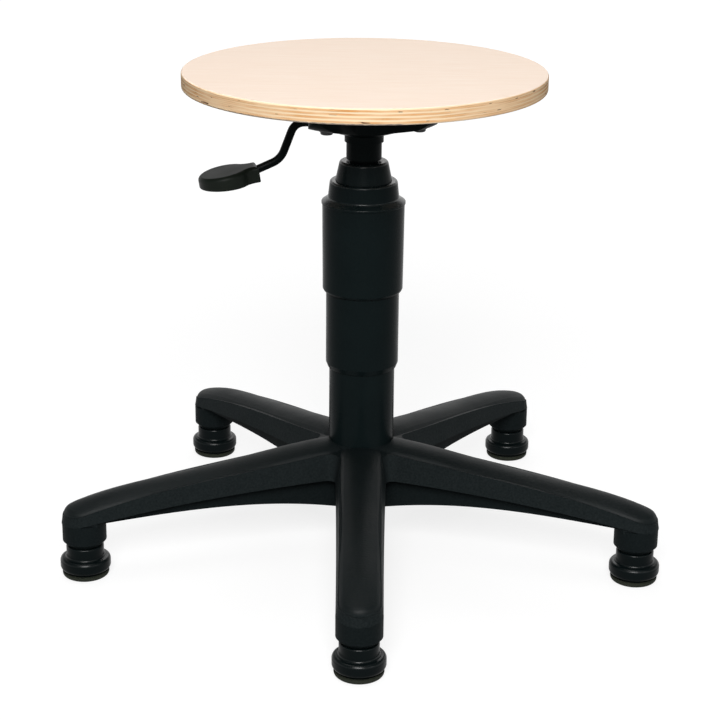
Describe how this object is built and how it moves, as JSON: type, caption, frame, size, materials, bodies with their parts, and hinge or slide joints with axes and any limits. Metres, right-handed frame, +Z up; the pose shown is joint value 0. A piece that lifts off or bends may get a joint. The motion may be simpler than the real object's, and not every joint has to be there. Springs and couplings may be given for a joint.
{
  "type": "swivel stool",
  "caption": "Round plywood swivel stool on a height-adjustable gas column with telescopic cover sleeves, a release lever and a moulded star base on glides.",
  "frame": {"origin": "on the column's axis at floor level, under the hub", "axes": "+Z up along the column; one arm of the base points to -Y, the front; metres"},
  "size_m": [0.5946, 0.5679, 0.4904],
  "materials": {
    "plywood": "clear-coated birch plywood",
    "black_moulding": "fine-grained satin",
    "black_sleeve": "smooth semi-gloss",
    "black_enamel": "semi-gloss powder coat",
    "dark_handle": "satin",
    "glide_pad": "matt",
    "plain_steel": "bright drawn",
    "black_screw": "black oxide",
    "insert_brass": "turned",
    "guide_nylon": "natural nylon",
    "stop_rubber": "matt"
  },
  "bodies": {
    "base": {"star_base": "black_moulding", "stand_tube": "black_enamel", "guide_bush": "guide_nylon", "lower_sleeve": "black_sleeve", "thrust_washer_lower": "plain_steel"},
    "piston_unit": {"piston_rod": "plain_steel", "piston": "guide_nylon", "thrust_washer_upper": "plain_steel", "bump_stop": "stop_rubber", "retaining_clip": "plain_steel"},
    "seat": {"seat_panel": "plywood", "seat_carrier": "black_enamel", "seat_inserts": "insert_brass", "seat_screws": "black_screw", "seat_washers": "black_screw", "socket_tube": "black_enamel", "pressure_tube": "black_enamel", "rod_guide": "guide_nylon", "valve_body": "guide_nylon", "upper_sleeve": "black_sleeve", "lever_pin": "plain_steel", "pin_clips": "plain_steel"},
    "lever": {"lever_rod": "black_enamel", "lever_handle": "dark_handle"},
    "release_pin": {"release_pin": "plain_steel"},
    "middle_sleeve": {"middle_sleeve": "black_sleeve"},
    "bearing": {"bearing_cage": "guide_nylon", "bearing_balls": "plain_steel"},
    "glide_1": {"glide_body_1": "black_moulding", "glide_pad_1": "glide_pad", "glide_stem_1": "plain_steel", "grip_ring_1": "plain_steel"},
    "glide_2": {"glide_body_2": "black_moulding", "glide_pad_2": "glide_pad", "glide_stem_2": "plain_steel", "grip_ring_2": "plain_steel"},
    "glide_3": {"glide_body_3": "black_moulding", "glide_pad_3": "glide_pad", "glide_stem_3": "plain_steel", "grip_ring_3": "plain_steel"},
    "glide_4": {"glide_body_4": "black_moulding", "glide_pad_4": "glide_pad", "glide_stem_4": "plain_steel", "grip_ring_4": "plain_steel"},
    "glide_5": {"glide_body_5": "black_moulding", "glide_pad_5": "glide_pad", "glide_stem_5": "plain_steel", "grip_ring_5": "plain_steel"}
  },
  "joints": [
    {"name": "seat_swivel", "type": "hinge", "parent": "base", "child": "piston_unit", "pos_m": [0, 0, 0.055], "axis": [0, 0, 1], "continuous": true},
    {"name": "seat_lift", "type": "slide", "parent": "piston_unit", "child": "seat", "axis": [0, 0, 1], "range_m": [-0.12, 0]},
    {"name": "lever_lift", "type": "hinge", "parent": "seat", "child": "lever", "pos_m": [-0.02945, -0.00572, 0.4414], "axis": [-0.1908, 0.9816, 0], "range_deg": [0, 7], "stiffness_Nm_per_rad": 4, "springref_deg": -1.72},
    {"name": "pin_press", "type": "slide", "parent": "seat", "child": "release_pin", "axis": [0, 0, 1], "range_m": [-0.004, 0]},
    {"name": "sleeve_follow", "type": "slide", "parent": "base", "child": "middle_sleeve", "axis": [0, 0, 1], "range_m": [-0.06, 0]},
    {"name": "bearing_turn", "type": "hinge", "parent": "base", "child": "bearing", "pos_m": [0, 0, 0.055], "axis": [0, 0, 1], "continuous": true},
    {"name": "glide_turn_1", "type": "hinge", "parent": "base", "child": "glide_1", "pos_m": [0, -0.2865, 0], "axis": [0, 0, 1], "continuous": true},
    {"name": "glide_turn_2", "type": "hinge", "parent": "base", "child": "glide_2", "pos_m": [0.27248, -0.08853, 0], "axis": [0, 0, 1], "continuous": true},
    {"name": "glide_turn_3", "type": "hinge", "parent": "base", "child": "glide_3", "pos_m": [0.1684, 0.23178, 0], "axis": [0, 0, 1], "continuous": true},
    {"name": "glide_turn_4", "type": "hinge", "parent": "base", "child": "glide_4", "pos_m": [-0.1684, 0.23178, 0], "axis": [0, 0, 1], "continuous": true},
    {"name": "glide_turn_5", "type": "hinge", "parent": "base", "child": "glide_5", "pos_m": [-0.27248, -0.08853, 0], "axis": [0, 0, 1], "continuous": true}
  ],
  "couplings": [
    {"joint": "pin_press", "follows": "lever_lift", "m_per_rad": -0.03},
    {"joint": "sleeve_follow", "follows": "seat_lift", "ratio": 0.5},
    {"joint": "bearing_turn", "follows": "seat_swivel", "ratio": 0.5}
  ]
}
